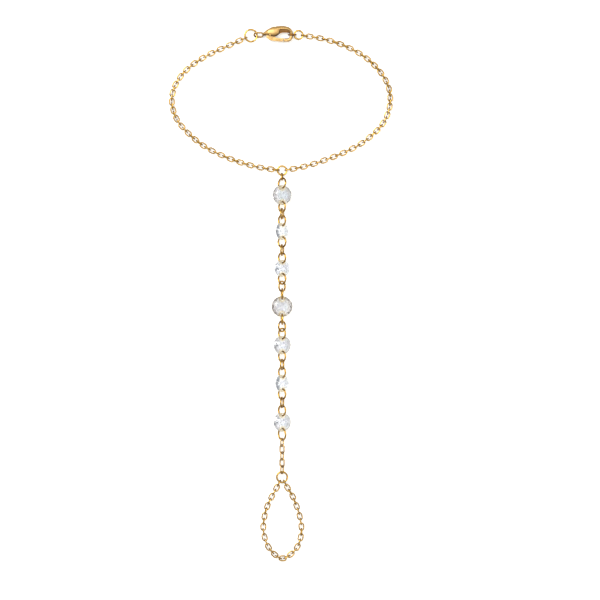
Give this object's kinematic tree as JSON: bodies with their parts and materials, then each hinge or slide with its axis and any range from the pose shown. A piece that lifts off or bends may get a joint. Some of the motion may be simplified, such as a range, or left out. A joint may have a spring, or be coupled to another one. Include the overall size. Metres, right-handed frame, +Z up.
{
  "type": "hand chain bracelet",
  "caption": "Hand chain bracelet: a wrist chain with a lever clasp, a strand of drilled round stones and small rings, and a chain loop for a finger, laid out flat.",
  "frame": {"origin": "middle of the laid-out bracelet, on the surface that it lies on", "axes": "+Y from the finger loop towards the clasp, +X to the side of the clasp's claw, +Z up from the surface"},
  "size_m": [0.0642, 0.153, 0.0036],
  "materials": {
    "gold": "polished gold plate",
    "stone": "clear, cut and polished"
  },
  "bodies": {
    "bracelet": {"wrist_chain_left": "gold", "wrist_chain_right": "gold", "clasp_body": "gold", "clasp_pin": "gold", "clasp_ring": "gold", "hook_link": "gold", "hook_ring": "gold", "centre_ring": "gold", "strand_link": "gold", "end_chain": "gold", "finger_ring": "gold", "finger_chain": "gold", "ring_above_1": "gold", "ring_above_2": "gold", "ring_above_3": "gold", "ring_above_4": "gold", "ring_above_5": "gold", "ring_above_6": "gold", "ring_above_7": "gold", "ring_below_1": "gold", "ring_below_2": "gold", "ring_below_3": "gold", "ring_below_4": "gold", "ring_below_5": "gold", "ring_below_6": "gold", "ring_below_7": "gold", "ring_between_1_2": "gold", "ring_between_2_3": "gold", "ring_between_3_4": "gold", "ring_between_4_5": "gold", "ring_between_5_6": "gold", "ring_between_6_7": "gold", "stone_1": "stone", "stone_2": "stone", "stone_3": "stone", "stone_4": "stone", "stone_5": "stone", "stone_6": "stone", "stone_7": "stone"},
    "lever": {"clasp_lever": "gold"}
  },
  "joints": [
    {"name": "lever_hinge", "type": "hinge", "parent": "bracelet", "child": "lever", "pos_m": [-0.00312, 0.07379, 0.00125], "axis": [0, 0, 1], "range_deg": [0, 16], "stiffness_Nm_per_rad": 0.00005, "springref_deg": -11.46}
  ]
}
